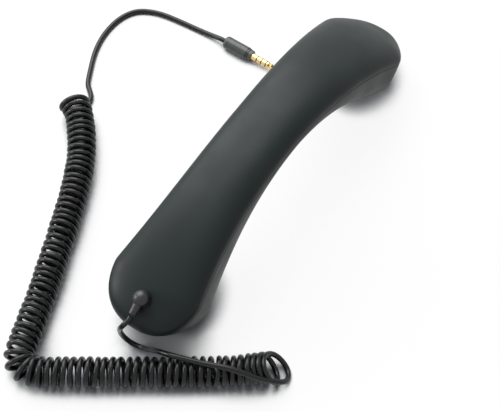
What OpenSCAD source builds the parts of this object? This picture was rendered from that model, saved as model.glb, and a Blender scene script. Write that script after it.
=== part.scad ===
// Corded telephone handset: an arched two-part shell with an ear cup and a mouth cup,
// its receiver, microphone, call button and counterweight, and a curly cord with a jack plug.
// The handset lies on its two cups: X runs from the mouth end to the ear end, Z is up.

/* [Arch] */
// Arc length from the middle of the grip to each tip
end_reach = 116; // [108:1:124]
// Bend radius of the mouth half
mic_bend_r = 185; // [170:1:230]
// Bend radius of the ear half
ear_bend_r = 145; // [138:1:180]
// Height of the ear end's tip above the table
ear_tip_h = 6.62; // [6.2:0.02:7]
// Place of the grip's middle along the length
grip_x = 1.9; // [0:0.1:4]

/* [Handset section] */
// Height of the back above the parting line
back_h = 8.5; // [8:0.1:10]
// Depth of the grip below the parting line
grip_depth = 9; // [8.6:0.1:11]
// Height of the mouth face's middle above the table
mic_face_h = 2.36; // [2:0.02:3]
// Depth of the ear cup below the parting line
ear_depth = 21.5; // [20.5:0.5:24]
// Width of the grip
grip_w = 34; // [32:0.5:38]
// Width of the mouth end
mic_w = 49; // [46:0.5:54]
// Width of the ear end
ear_w = 46; // [44:0.5:50]
// How late the mouth end widens
mic_swell_power = 2.5; // [2:0.1:3]
// How late the ear end widens
ear_swell_power = 1.4; // [1.2:0.1:2]
// Length of the rounded mouth tip
mic_nose = 31; // [26:1:36]
// Length of the rounded ear tip
ear_nose = 27; // [24:1:32]
// Fullness of the back's section
back_power = 2.5; // [2.2:0.1:2.8]
// Fullness of the grip's inner side
grip_power = 2.8; // [2.5:0.1:3.2]
// Fullness of the two cups
cup_power = 3.6; // [3.2:0.1:4]

/* [Shell] */
// Wall thickness of the shells
wall = 2; // [1.8:0.1:2.4]
// Wall thickness behind the ear and mouth faces
face_wall = 4.8; // [4.7:0.1:5.2]
// Gap round pieces that drop into a recess
fit_gap = 0.2; // [0.15:0.05:0.3]

/* [Ear face] */
// Distance from the ear end's tip to the middle of the ear grille
ear_from_tip = 32; // [30:1:34]
// Radius of the ear grille, as a share of the ear end's width
ear_grille_share = 0.3326; // [0.322:0.0002:0.343]
// How far the ear grille laps over its opening's edge
grille_lap = 2.3; // [2.1:0.1:2.5]
// Radius of a sound hole in the ear grille
ear_hole_r = 1.1; // [0.8:0.1:1.3]

/* [Mouth face] */
// Distance from the mouth end's tip to the middle of the mouth grille
mic_from_tip = 30; // [28:1:32]
// Radius of the mouth grille's flange
mic_grille_r = 9; // [8.6:0.1:9.6]
// Radius of the opening behind the mouth grille
mic_open_r = 7; // [6.8:0.1:7.2]
// Radius of a sound hole in the mouth grille
mic_hole_r = 0.7; // [0.5:0.1:0.9]

/* [Grilles] */
// Depth of a grille's seat below the face
grille_sink = 3.3; // [3.2:0.1:3.5]
// Thickness of a grille's flange at its edge
grille_t = 1.4; // [1.2:0.1:1.6]
// Height of a grille's dome
grille_dome = 1; // [0.6:0.1:1.2]
// Thickness of the dust cloth behind a grille
cloth_t = 0.3; // [0.2:0.1:0.4]

/* [Receiver] */
// How much the receiver's radius is over the opening's
receiver_lap = 0.4; // [0.2:0.1:0.6]
// Height of the receiver's frame
receiver_h = 6.2; // [6:0.1:6.6]
// Thickness of the foam ring in front of the receiver
gasket_t = 1.5; // [1.2:0.1:1.8]
// Distance from the magnet's side to the yoke's
yoke_rim = 2.6; // [2.5:0.1:2.8]
// Radius of the yoke, as a share of the receiver's
yoke_share = 0.507; // [0.5:0.005:0.55]
// Thickness of the receiver's clamp
clamp_t = 2; // [1.6:0.1:2.4]
// Clearance between the receiver and the clamp's posts
clamp_gap = 0.6; // [0.4:0.1:0.8]

/* [Microphone] */
// Radius of the microphone capsule
capsule_r = 4.85; // [4.5:0.05:5]
// Height of the microphone capsule
capsule_h = 6.7; // [6:0.1:7]
// Radius of the rubber boot round the capsule
boot_r = 7.5; // [7.2:0.1:7.8]

/* [Call button] */
// Radius of the call button
button_r = 6; // [5.5:0.1:6.5]
// Travel of the call button
button_travel = 0.6; // [0.4:0.05:0.7]
// How far the button stands out of the grip
button_proud = 0.6; // [0.4:0.1:0.8]
// Gap round the button
button_gap = 0.3; // [0.25:0.05:0.4]
// Side length of the switch
switch_w = 6; // [5.5:0.1:7]
// Height of the switch body
switch_h = 3.4; // [3.2:0.1:3.6]
// Radius of the switch plunger
plunger_r = 1.7; // [1.5:0.05:1.8]

/* [Circuit board] */
// Length of the circuit board
board_l = 34; // [33:0.5:38]
// Width of the circuit board
board_w = 18; // [16:0.5:20]
// Thickness of the circuit board
board_t = 1.2; // [0.8:0.1:1.6]
// Distance of the board's screws from the button
board_screw_x = 13; // [12.6:0.1:13.4]

/* [Counterweight] */
// Place of the counterweight, as a share of the mouth side's reach
weight_share = 0.5; // [0.49:0.01:0.51]
// Length of the counterweight
weight_l = 34; // [30:1:35]
// Width of the counterweight
weight_w = 20; // [16:0.5:22]
// Thickness of the counterweight
weight_t = 5; // [4:0.5:6]
// Distance between the counterweight's screws
weight_pitch = 24; // [22:0.5:25]

/* [Screws] */
// Radius of a shell screw's thread
screw_r = 1.25; // [1.1:0.05:1.3]
// Radius of a shell screw's head
screw_head_r = 2.6; // [2.3:0.1:2.7]
// Height of a shell screw's head
screw_head_h = 1.8; // [1.5:0.1:2]
// Radius of a small screw's thread
small_screw_r = 1; // [0.9:0.05:1.05]
// Radius of a small screw's head
small_head_r = 1.9; // [1.7:0.1:2]
// Height of a small screw's head
small_head_h = 1.3; // [1:0.1:1.5]
// Place of the shell screws, as a share of each side's reach
shell_screw_share = 0.276; // [0.272:0.002:0.282]

/* [Cord] */
// Diameter of the cord
cord_d = 2.6; // [2.2:0.1:2.8]
// Outer diameter of the curly run
curl_d = 14.6; // [12:0.2:15]
// Distance from the mouth end's tip to the cord boot
cord_from_tip = 15.2; // [14.6:0.1:16]
// Radius of the cord boot's dome
dome_r = 4; // [3.6:0.1:4.2]
// Length of the cord boot's arm from the dome's middle
arm_l = 9.5; // [8.5:0.1:10]

/* [Jack plug] */
// Radius of the jack's pins
jack_r = 1.75; // [1.7:0.01:1.8]
// Length of the jack
jack_l = 14; // [13.5:0.1:14.5]
// Radius of the plug's body
plug_r = 3.4; // [3:0.1:3.8]
// Length of the plug's body
plug_l = 14; // [13:0.5:16]
// Length of the dark band in front of the plug's body
band_l = 1.2; // [0.8:0.1:1.6]
// Length of the plug's collar
collar_l = 1.8; // [1.4:0.1:2.2]

/* [Hidden] */

$fn = 48;
// Rings along the shell and segments over half a section
rings = 48;
arc_steps = 20;
// Share of the reach at which the ends are at their widest and deepest
full_at = 0.8;
// How closely the rings crowd towards the tips
crowd = 1.7;
// Clearance round a screw's thread in its hole
thread_gap = 0.03;
// Clearance round a screw's shank in a piece it only passes
pass_gap = 0.2;
// Small extra length of a cut, and the length of one that runs out through a crowned face
over = 1;
run_out = 6;
// Clearance of a seat or a screw's end in its pocket
seat_gap = 0.1;
end_gap = 0.3;

shell_black = [0.26, 0.29, 0.29];
face_black = [0.16, 0.17, 0.17];
rubber_black = [0.1, 0.1, 0.1];
steel = [0.62, 0.63, 0.65];
gold = [0.83, 0.68, 0.35];

// Heights, places along the arch and radii that follow the driving sizes
grip_h = ear_tip_h + ear_bend_r * (1 - cos(lean(end_reach)));
ear_at = end_reach - ear_from_tip;
mic_at = -(end_reach - mic_from_tip);
cord_at = -(end_reach - cord_from_tip);
weight_at = -weight_share * end_reach;
mic_depth = (spine(mic_at)[1] - mic_face_h) / cos(lean(mic_at));
shell_screw_at = shell_screw_share * end_reach;
ear_grille_r = ear_grille_share * ear_w;
ear_open_r = ear_grille_r - grille_lap;
receiver_r = ear_open_r + receiver_lap;
yoke_r = yoke_share * receiver_r;
magnet_r = yoke_r - yoke_rim;

function bend_r(s) = s < 0 ? mic_bend_r : ear_bend_r;
function lean(s) = s / bend_r(s) * 180 / PI;
function spine(s) = [
    grip_x + bend_r(s) * sin(lean(s)),
    grip_h - bend_r(s) * (1 - cos(lean(s)))
];
// A point of the section at arch place s: y across, h along the section's own up direction
function at(s, y, h) = [
    spine(s)[0] + h * sin(lean(s)),
    y,
    spine(s)[1] + h * cos(lean(s))
];
function ease(u) = (1 - cos(180 * min(1, u))) / 2;
function nose(s, reach, cap, power) =
    let (q = max(0, (abs(s) - (reach - cap)) / cap))
    pow(max(0, 1 - pow(min(1, q), power)), 1 / power);
function along(s) = abs(s) / end_reach / full_at;
function side_wall(s) = wall + (face_wall - wall) * ease(along(s) / 0.7);
function full_half_w(s) =
    grip_w / 2 + ((s < 0 ? mic_w : ear_w) - grip_w) / 2
    * pow(min(1, along(s)), s < 0 ? mic_swell_power : ear_swell_power);
function half_w(s, inset) =
    (full_half_w(s) - inset)
    * nose(s, end_reach - inset, s < 0 ? mic_nose : ear_nose, s < 0 ? 2.2 : 1.5);
function back_height(s, inset) =
    (back_h - inset) * nose(s, end_reach - inset, back_h * 1.6, 2.2);
function full_depth(s) =
    grip_depth + ((s < 0 ? mic_depth : ear_depth) - grip_depth) * ease(along(s));
function front_depth(s, inset) =
    (full_depth(s) - (inset > 0 ? side_wall(s) : 0))
    * nose(s, end_reach - inset, s < 0 ? mic_depth : ear_depth, 2.2);
function front_power(s) = grip_power + (cup_power - grip_power) * ease(along(s) / 0.75);

// One point of a skin: side 1 is the back half, side -1 the front half
function skin_point(s, turn, side, inset) =
    let (
        power = side > 0 ? back_power : front_power(s),
        y = half_w(s, inset) * sign(cos(turn)) * pow(abs(cos(turn)), 2 / power),
        h = side > 0 ? back_height(s, inset) : -front_depth(s, inset),
        p = at(s, y, h * pow(abs(sin(turn)), 2 / power))
    )
    [p[0], p[1], max(p[2], inset > 0 ? side_wall(s) * 0.6 : 0)];
function station(i, inset) =
    let (u = 2 * i / rings - 1)
    sign(u) * (1 - pow(1 - abs(u), crowd)) * (end_reach - inset);
function ring(i, side, inset) = [
    for (j = [0 : arc_steps]) skin_point(station(i, inset), 180 * j / arc_steps, side, inset)
];
function skin(side, inset) = [
    for (i = [1 : rings - 1]) each ring(i, side, inset)
];

// Half of the hollow shell as one closed wall: outer skin, inner skin and the rim between them.
// The points are the outer rings, the inner rings, the two outer tips and the two inner tips.
ring_points = arc_steps + 1;
skin_points = (rings - 1) * ring_points;
function flip(faces) = [for (f = faces) [f[0], f[2], f[1]]];
function skin_faces(start) = [
    for (i = [0 : rings - 3], j = [0 : arc_steps - 1])
        let (a = start + i * ring_points + j, b = a + ring_points)
        each [[a, b, b + 1], [a, b + 1, a + 1]]
];
function tip_faces(start, tip) = [
    for (j = [0 : arc_steps - 1])
        let (a = start + j, b = a + skin_points - ring_points)
        each [[tip, a, a + 1], [tip + 1, b + 1, b]]
];
function edge_line(start, j, tip) = [
    tip,
    for (i = [0 : rings - 2]) start + i * ring_points + j,
    tip + 1
];
function strip_faces(a, b) = [
    for (k = [0 : len(a) - 2]) each [[a[k], b[k + 1], a[k + 1]], [a[k], b[k], b[k + 1]]]
];
module half_shell(side) {
    outer_tip = 2 * skin_points;
    inner_tip = outer_tip + 2;
    inner_reach = end_reach - wall;
    tips = [
        at(-end_reach, 0, 0), at(end_reach, 0, 0),
        at(-inner_reach, 0, 0), at(inner_reach, 0, 0)
    ];
    faces = concat(
        skin_faces(0), tip_faces(0, outer_tip),
        flip(skin_faces(skin_points)), flip(tip_faces(skin_points, inner_tip)),
        strip_faces(edge_line(0, 0, outer_tip), edge_line(skin_points, 0, inner_tip)),
        flip(strip_faces(
            edge_line(0, arc_steps, outer_tip), edge_line(skin_points, arc_steps, inner_tip)
        ))
    );
    polyhedron(
        points = concat(skin(side, 0), skin(side, wall), tips),
        faces = side > 0 ? faces : flip(faces),
        convexity = 6
    );
}

// Puts a piece on the arch at place s, with Z along the section's up direction
module on_arch(s) {
    translate(at(s, 0, 0))
        rotate([0, lean(s), 0])
            children();
}
module drum(r, low, high) {
    translate([0, 0, low])
        cylinder(r = r, h = high - low);
}
module ring_drum(r, hole_r, low, high) {
    difference() {
        drum(r, low, high);
        drum(hole_r, low - over, high + over);
    }
}

// Levels along the ear face's own axis, measured from the parting line
ear_face = front_depth(ear_at, 0);
ear_seat = -(ear_face - grille_sink);
ear_inner = -(ear_face - face_wall);
// Plain border round the sound holes and the distance between their rings
hole_border = 2.7;
ear_pitch = (ear_open_r - ear_hole_r - hole_border) / 2;
gasket_low = ear_inner + cloth_t;
receiver_low = gasket_low + gasket_t;
receiver_high = receiver_low + receiver_h;
plate_t = 1;
yoke_t = 1.2;
clamp_low = receiver_high + yoke_t;
clamp_high = clamp_low + clamp_t;
clamp_post_r = 2.6;
clamp_y = receiver_r + clamp_post_r + clamp_gap;
clamp_post_sink = 5.6;
clamp_screw_l = 7;
frame_wall = 1.2;
ledge_r = receiver_r - 2 * frame_wall;
coil_gap = 0.5;
coil_t = 0.5;

// Levels along the mouth face's own axis
mic_face = front_depth(mic_at, 0);
mic_seat = -(mic_face - grille_sink);
mic_inner = -(mic_face - face_wall);
mic_pitch = mic_open_r - mic_hole_r - hole_border - fit_gap;
boot_low = mic_inner + cloth_t;
boot_floor = 1;
socket_t = 1.6;
socket_h = 5;

// Levels of the call button, along Z
grip_low = grip_h - grip_depth;
seat_ring_r = 9.5;
seat_high = grip_low + wall + 0.5;
flange_lift = 0.1;
flange_t = 1;
flange_r = button_r + 1.4;
stem_h = 0.6;
stem_r = 1.8;
plunger_low = seat_high + flange_lift + flange_t + stem_h;
plunger_h = 2.5;
switch_low = plunger_low + button_travel + 0.2;
board_low = switch_low + switch_h;
board_high = board_low + board_t;
plunger_gap = 0.05;
board_post_r = 2.5;
board_screw_l = 5.9;

// Levels of the counterweight and of the shell screws along their own axes
weight_post_sink = 0.8;
weight_post_r = 3;
weight_high = back_h - 2 * wall;
weight_low = weight_high - weight_t;
weight_screw_top = back_h - wall - end_gap;
split_h = -2;
back_post_r = 3.2;
front_post_r = 4.2;
head_seat = -6.5;
shell_screw_top = 4;
shell_pilot_top = 4.5;
plug_recess = 1.1;
plug_t = 2.5;

// The cord boot on its own axis
boot_seat = back_h + 0.05;
boot_neck_r = 3;
boot_flange_r = 4.4;
boot_flange_t = 1.2;
boot_shoulder = 2.2;
arm_h = back_h + 2.6;
arm_r = 2.5;
arm_tip_r = 1.9;

module shell_screw_axes() {
    for (s = [-shell_screw_at, shell_screw_at])
        on_arch(s)
            children();
}
module ear_clamp_axes() {
    on_arch(ear_at)
        for (y = [-clamp_y, clamp_y])
            translate([0, y, 0])
                children();
}
module weight_screw_axes() {
    on_arch(weight_at)
        for (x = [-weight_pitch / 2, weight_pitch / 2])
            translate([x, 0, 0])
                children();
}
module board_screw_axes() {
    for (x = [-board_screw_x, board_screw_x])
        translate([grip_x + x, 0, 0])
            children();
}

module back_shell() {
    color(shell_black)
        difference() {
            union() {
                half_shell(1);
                shell_screw_axes()
                    drum(back_post_r, split_h, back_h - wall / 2);
                weight_screw_axes()
                    drum(weight_post_r, weight_high, back_h - wall + weight_post_sink);
            }
            shell_screw_axes()
                drum(screw_r + thread_gap, split_h - over, shell_pilot_top);
            weight_screw_axes()
                drum(screw_r + thread_gap, weight_high - over, weight_screw_top + end_gap);
            on_arch(cord_at)
                drum(boot_neck_r + seat_gap, back_h - 2 * wall, back_h + over);
        }
}

module front_shell() {
    color(shell_black)
        difference() {
            union() {
                half_shell(-1);
                for (s = [-shell_screw_at, shell_screw_at])
                    on_arch(s)
                        drum(front_post_r, -(full_depth(s) - wall / 2), split_h);
                ear_clamp_axes()
                    drum(clamp_post_r, -(ear_face - clamp_post_sink), clamp_low);
                on_arch(mic_at)
                    drum(boot_r + fit_gap + socket_t, mic_inner - 0.9, boot_low + socket_h);
                translate([grip_x, 0, 0])
                    drum(seat_ring_r, grip_low + wall / 2, seat_high);
                board_screw_axes()
                    drum(board_post_r, grip_low - 0.1, board_low);
            }
            on_arch(ear_at) {
                drum(ear_grille_r + fit_gap, -ear_face - run_out, ear_seat);
                drum(ear_open_r, ear_seat - over, ear_inner + 2 * wall);
            }
            on_arch(mic_at) {
                drum(mic_grille_r + fit_gap, -mic_face - run_out, mic_seat);
                drum(mic_open_r, mic_seat - over, mic_inner + over);
                drum(boot_r + fit_gap, boot_low - fit_gap, boot_low + socket_h + over);
            }
            ear_clamp_axes()
                drum(small_screw_r + thread_gap, clamp_low - clamp_screw_l, clamp_low + over);
            translate([grip_x, 0, 0])
                drum(button_r + button_gap, grip_low - 2 * over, seat_high + over);
            board_screw_axes()
                drum(small_screw_r + thread_gap, board_low - board_screw_l, board_low + over);
            for (s = [-shell_screw_at, shell_screw_at])
                on_arch(s) {
                    drum(screw_head_r + end_gap, -full_depth(s) - run_out, head_seat);
                    drum(screw_r + pass_gap, head_seat - over, split_h + over);
                }
        }
}

// A domed round grille: flange, hub in the opening and sound holes in rings
module grille(flange_r, hub_r, seat, inner, hole_r, hole_rings, pitch) {
    bulge_r = (flange_r * flange_r + grille_dome * grille_dome) / (2 * grille_dome);
    depth = grille_t + grille_dome;
    difference() {
        union() {
            drum(hub_r, seat - grille_t / 2, inner);
            translate([0, 0, seat])
                rotate_extrude()
                    intersection() {
                        translate([0, -depth])
                            square([flange_r, depth]);
                        translate([0, bulge_r - depth])
                            circle(r = bulge_r, $fn = 720);
                    }
        }
        drum(hole_r, seat - 2 * depth, inner + over);
        for (k = [1 : hole_rings], turn = [0 : 60 / k : 359])
            rotate([0, 0, turn])
                translate([k * pitch, 0, 0])
                    drum(hole_r, seat - 2 * depth, inner + over);
    }
}
module ear_grille() {
    color(face_black)
        on_arch(ear_at)
            grille(ear_grille_r, ear_open_r - fit_gap * 2, ear_seat, ear_inner, ear_hole_r, 2, ear_pitch);
}
module mic_grille() {
    color(face_black)
        on_arch(mic_at)
            grille(mic_grille_r, mic_open_r - fit_gap * 1.5, mic_seat, mic_inner, mic_hole_r, 1, mic_pitch);
}
module ear_cloth() {
    color(rubber_black)
        on_arch(ear_at)
            drum(ear_open_r - fit_gap * 2, ear_inner, gasket_low);
}
module mic_cloth() {
    color(rubber_black)
        on_arch(mic_at)
            drum(mic_open_r - fit_gap * 2, mic_inner, boot_low);
}
module ear_gasket() {
    color([0.2, 0.2, 0.22])
        on_arch(ear_at)
            ring_drum(ear_open_r - fit_gap * 2, ear_open_r - 3, gasket_low, receiver_low);
}

// The receiver's frame: a shallow can, open to the ear, with a ledge for the diaphragm
module receiver_frame() {
    color([0.85, 0.83, 0.78])
        on_arch(ear_at)
            difference() {
                drum(receiver_r, receiver_low, receiver_high);
                drum(receiver_r - frame_wall, receiver_low - over, receiver_low + 0.9);
                drum(ledge_r, receiver_low, receiver_high - plate_t);
                drum(yoke_r + 0.1, receiver_low, receiver_high + over);
                for (turn = [0 : 60 : 359])
                    rotate([0, 0, turn])
                        translate([(ledge_r + yoke_r) / 2, 0, 0])
                            drum(1, receiver_high - 2 * plate_t, receiver_high + over);
            }
}
module receiver_diaphragm() {
    color([0.75, 0.76, 0.72])
        on_arch(ear_at)
            drum(receiver_r - frame_wall - fit_gap, receiver_low + 0.6, receiver_low + 0.9);
}
module receiver_coil() {
    color([0.72, 0.4, 0.2])
        on_arch(ear_at)
            ring_drum(
                magnet_r + coil_gap + coil_t, magnet_r + coil_gap,
                receiver_low + 0.9, receiver_high - 2 * plate_t
            );
}
module receiver_magnet() {
    color([0.5, 0.5, 0.52])
        on_arch(ear_at)
            drum(magnet_r, receiver_low + 2.4, receiver_high);
}
module receiver_yoke() {
    color(steel)
        on_arch(ear_at) {
            ring_drum(yoke_r, magnet_r + 2 * coil_gap + coil_t, receiver_low + 2.2, receiver_high);
            drum(yoke_r + 1.6, receiver_high, clamp_low);
        }
}
module receiver_clamp() {
    color([0.8, 0.8, 0.76])
        difference() {
            on_arch(ear_at)
                hull()
                    for (y = [-clamp_y, clamp_y])
                        translate([0, y, 0])
                            drum(clamp_post_r, clamp_low, clamp_high);
            ear_clamp_axes()
                drum(small_screw_r + pass_gap, clamp_low - over, clamp_high + over);
        }
}
// A pan-head screw standing on its thread: the head's underside is at level seat
module screw(thread_r, head_r, head_h, seat, end) {
    up = end > seat ? 1 : -1;
    difference() {
        union() {
            drum(thread_r, min(seat, end), max(seat, end));
            drum(head_r, min(seat, seat - up * head_h), max(seat, seat - up * head_h));
        }
        cross_slot(head_r, seat - up * head_h, up);
    }
}
module cross_slot(head_r, face, up) {
    for (turn = [0, 90])
        rotate([0, 0, turn])
            translate([-head_r * 0.6, -head_r * 0.12, up > 0 ? face - over : face - head_r * 0.3])
                cube([head_r * 1.2, head_r * 0.24, head_r * 0.3 + over]);
}
module clamp_screws() {
    color(steel)
        ear_clamp_axes()
            screw(small_screw_r, small_head_r, small_head_h, clamp_high, clamp_low - clamp_screw_l + 0.5);
}

module mic_boot() {
    color(rubber_black)
        on_arch(mic_at)
            difference() {
                drum(boot_r, boot_low, boot_low + boot_floor + capsule_h - 0.5);
                drum(capsule_r - over, boot_low - over, boot_low + over);
                drum(capsule_r, boot_low + boot_floor, boot_low + boot_floor + capsule_h);
            }
}
module mic_capsule() {
    color([0.75, 0.76, 0.78])
        on_arch(mic_at)
            difference() {
                drum(capsule_r, boot_low + boot_floor, boot_low + boot_floor + capsule_h);
                drum(mic_hole_r, boot_low, boot_low + boot_floor + 2);
                ring_drum(
                    capsule_r - 1.2, capsule_r - 1.6,
                    boot_low + capsule_h + boot_floor - 0.4, boot_low + capsule_h + boot_floor + over
                );
            }
}

// The button's cap has a shallow finger dish in its outer face
module call_button() {
    dish_r = 14;
    dish_t = 0.5;
    color(face_black)
        translate([grip_x, 0, 0])
            difference() {
                union() {
                    drum(button_r, grip_low - button_proud, seat_high + flange_lift + flange_t);
                    drum(flange_r, seat_high + flange_lift, seat_high + flange_lift + flange_t);
                    drum(stem_r, seat_high + flange_lift, plunger_low);
                }
                translate([0, 0, grip_low - button_proud - dish_r + dish_t])
                    sphere(r = dish_r, $fn = 96);
            }
}
module switch_plunger() {
    color([0.15, 0.15, 0.16])
        translate([grip_x, 0, 0])
            drum(plunger_r, plunger_low, plunger_low + plunger_h);
}
module switch_body() {
    color(steel)
        translate([grip_x, 0, 0])
            difference() {
                translate([-switch_w / 2, -switch_w / 2, switch_low])
                    cube([switch_w, switch_w, switch_h]);
                drum(
                    plunger_r + plunger_gap, switch_low - over,
                    plunger_low + plunger_h + button_travel + 0.2
                );
            }
}
module circuit_board() {
    color([0.12, 0.35, 0.22])
        difference() {
            translate([grip_x - board_l / 2, -board_w / 2, board_low])
                cube([board_l, board_w, board_t]);
            board_screw_axes()
                drum(small_screw_r + pass_gap, board_low - over, board_high + over);
        }
}
module board_screws() {
    color(steel)
        board_screw_axes()
            screw(small_screw_r, small_head_r, small_head_h, board_high, board_low - board_screw_l + 0.5);
}

module counterweight() {
    color([0.45, 0.46, 0.48])
        difference() {
            on_arch(weight_at)
                translate([-weight_l / 2, -weight_w / 2, weight_low])
                    cube([weight_l, weight_w, weight_t]);
            weight_screw_axes()
                drum(screw_r + pass_gap, weight_low - over, weight_high + over);
        }
}
module weight_screws() {
    color(steel)
        weight_screw_axes()
            screw(screw_r, screw_head_r, screw_head_h, weight_low, weight_screw_top);
}
module shell_screws() {
    color(steel)
        shell_screw_axes()
            screw(screw_r, screw_head_r, screw_head_h, head_seat, shell_screw_top);
}
module screw_plugs() {
    color(rubber_black)
        for (s = [-shell_screw_at, shell_screw_at])
            on_arch(s)
                drum(
                    screw_head_r + seat_gap,
                    plug_recess - full_depth(s), plug_recess + plug_t - full_depth(s)
                );
}

// The cord's strain relief: a domed stub on the back with an arm that points to the tip
module cord_boot() {
    flange_top = back_h - wall - 0.5;
    color(rubber_black)
        on_arch(cord_at) {
            drum(boot_flange_r, flange_top - boot_flange_t, flange_top);
            drum(boot_neck_r, flange_top, boot_seat);
            translate([0, 0, boot_seat])
                rotate_extrude() {
                    square([dome_r, boot_shoulder]);
                    intersection() {
                        translate([0, boot_shoulder])
                            circle(r = dome_r);
                        square([dome_r, boot_shoulder + dome_r]);
                    }
                }
            translate([0, 0, arm_h])
                rotate([0, -90, 0])
                    cylinder(r1 = arm_r, r2 = arm_tip_r, h = arm_l);
        }
}

// The cord's route: round points along its middle line, from the boot to the plug
lead_in_route = [
    [-111.6, 1.4, 25.6], [-111.4, 3.6, 21.6], [-110.2, 5.4, 15.8], [-109.2, 6, 9.6],
    [-108.4, 4.6, 4.4], [-107.4, 1.4, 1.8], [-106.8, -2.6, 2], [-107.4, -8.2, 5.8],
    [-108.4, -15, 11.6], [-108.6, -21.2, 15.4], [-107.2, -27, 16.2], [-104, -36.2, 16.1],
    [-99.4, -47.2, 15.8], [-96, -56.6, 14.2], [-93.8, -62, 11], [-90.4, -66.4, 7],
    [-86, -68.6, 4], [-81.2, -68.2, 2.2], [-77.6, -64.8, 3], [-76, -61, 6.6],
    [-77.2, -59.8, 10.8], [-80, -61.4, 13]
];
curly_route = [
    [-82, -63.8, 7.3], [-93.2, -50.4, 7.3], [-104.4, -35.6, 7.3], [-115, -20.6, 7.3],
    [-125.4, -5.6, 7.3], [-135.8, 9.4, 7.3], [-143.6, 20.8, 7.3], [-147, 26, 7.3],
    [-148.7, 30.2, 7.3], [-148.2, 34.6, 7.3], [-145.2, 37.8, 7.3], [-141, 39.7, 7.3],
    [-136.6, 41.3, 7.3], [-126.4, 44.8, 7.3], [-112, 50, 7.3], [-89.8, 59, 7.3],
    [-66.8, 68.6, 7.3], [-44.6, 79.6, 7.3], [-28.8, 91.2, 7.3], [-15.2, 104.6, 7.3]
];
lead_out_route = [
    [-15.2, 104.6, 7.3], [-10.8, 107.6, 5.6], [-5, 108.6, 2.6], [2.6, 110.8, 1.5],
    [8, 114.2, 1.4], [18.4, 119.2, 1.4], [29.6, 122.2, 1.4], [41, 122.4, 1.4],
    [49.8, 119.6, 1.4], [55, 114.6, 1.4], [58.6, 106, 1.4], [60.2, 95, 1.4],
    [61.2, 84, 1.4], [61.8, 75, 2.2]
];
// Where the mouth end's tip stood when the routes were laid, and how far it stands from there
laid_tip_x = -106.647;
cord_shift = [at(-end_reach, 0, 0)[0] - laid_tip_x, 0, 0];
function moved(path) = [for (p = path) p + cord_shift];
// Where the plug's body starts
laid_plug_x = 61.8;
plug_x = laid_plug_x + cord_shift[0];
plug_y = 66.6;
cord_straight = 3;

function curve_point(p, i, u) =
    let (a = p[max(0, i - 1)], b = p[i], c = p[i + 1], d = p[min(len(p) - 1, i + 2)])
    0.5 * (
        2 * b + (c - a) * u + (2 * a - 5 * b + 4 * c - d) * u * u
        + (3 * b - a - 3 * c + d) * u * u * u
    );
function curve(p, steps) = [
    for (i = [0 : len(p) - 2], k = [0 : steps - 1]) curve_point(p, i, k / steps),
    p[len(p) - 1]
];
function unit(v) = v / norm(v);
function heading(path, i) = unit(path[min(len(path) - 1, i + 1)] - path[max(0, i - 1)]);
// Carries the sweep's side direction from ring to ring, so that the tube doesn't twist
function carried(path, i, side) = unit(side - (side * heading(path, i)) * heading(path, i));
function side_lines(path) = [
    for (
        i = 0, side = carried(path, 0, [0.3, 0.2, 1]);
        i < len(path);
        i = i + 1, side = i < len(path) ? carried(path, i, side) : side
    )
        side
];
// A round tube with flat ends, swept along a path
module tube(path, r, sides) {
    side = side_lines(path);
    points = [
        for (i = [0 : len(path) - 1], k = [0 : sides - 1])
            path[i] + r * (
                cos(360 * k / sides) * side[i]
                + sin(360 * k / sides) * cross(heading(path, i), side[i])
            )
    ];
    last = (len(path) - 1) * sides;
    faces = concat(
        [[for (k = [0 : sides - 1]) k]],
        [
            for (i = [0 : len(path) - 2], k = [0 : sides - 1])
                let (a = i * sides + k, b = i * sides + (k + 1) % sides)
                each [[a, a + sides, b], [b, a + sides, b + sides]]
        ],
        [[for (k = [sides - 1 : -1 : 0]) last + k]]
    );
    polyhedron(points = points, faces = faces, convexity = 10);
}

module cord_lead_in() {
    back_along = [-cos(lean(cord_at)), 0, sin(lean(cord_at))];
    exit = at(cord_at, 0, arm_h) + arm_l * back_along;
    color(rubber_black)
        tube(
            concat([exit, exit + cord_straight * back_along], moved(lead_in_route)),
            cord_d / 2, 8
        );
}
module curly_cord() {
    color(rubber_black)
        tube(moved(curly_route), curl_d / 2, 16);
}
module cord_lead_out() {
    plug_end = [plug_x, plug_y, plug_r];
    color(rubber_black)
        tube(
            concat(
                curve(moved(lead_out_route), 2),
                [plug_end + [0, cord_straight, 0], plug_end]
            ),
            cord_d / 2, 8
        );
}

// The plug lies along Y, with its jack towards the handset
module on_plug() {
    translate([plug_x, plug_y, plug_r])
        rotate([90, 0, 0])
            children();
}
collar_r = plug_r - 0.5;
collar_low = plug_l + band_l;
jack_low = collar_low + collar_l;
// Lengths of the jack's pins, from the collar to the tip, with insulators between them
insulator_l = 0.6;
sleeve_l = 3.2;
ring_l = 2.2;
ring_2_low = jack_low + sleeve_l + insulator_l;
ring_1_low = ring_2_low + ring_l + insulator_l;
tip_low = ring_1_low + ring_l + insulator_l;
tip_high = jack_low + jack_l;
core_r = jack_r - 0.6;

module plug_body() {
    round_r = 1.6;
    color([0.24, 0.26, 0.25])
        on_plug()
            rotate_extrude()
                difference() {
                    square([plug_r, plug_l]);
                    translate([plug_r - round_r, 0])
                        difference() {
                            translate([0, -over])
                                square([round_r + over, round_r + over]);
                            translate([0, round_r])
                                circle(r = round_r);
                        }
                }
}
module plug_band() {
    color(rubber_black)
        on_plug()
            drum(plug_r - 0.25, plug_l, collar_low);
}
module plug_collar() {
    color([0.4, 0.41, 0.4])
        on_plug()
            drum(collar_r, collar_low, jack_low);
}
module jack_sleeve() {
    color(gold)
        on_plug()
            drum(jack_r, jack_low, jack_low + sleeve_l);
}
module jack_ring_2() {
    color(gold)
        on_plug()
            drum(jack_r, ring_2_low, ring_2_low + ring_l);
}
module jack_ring_1() {
    color(gold)
        on_plug()
            drum(jack_r, ring_1_low, ring_1_low + ring_l);
}
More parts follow.
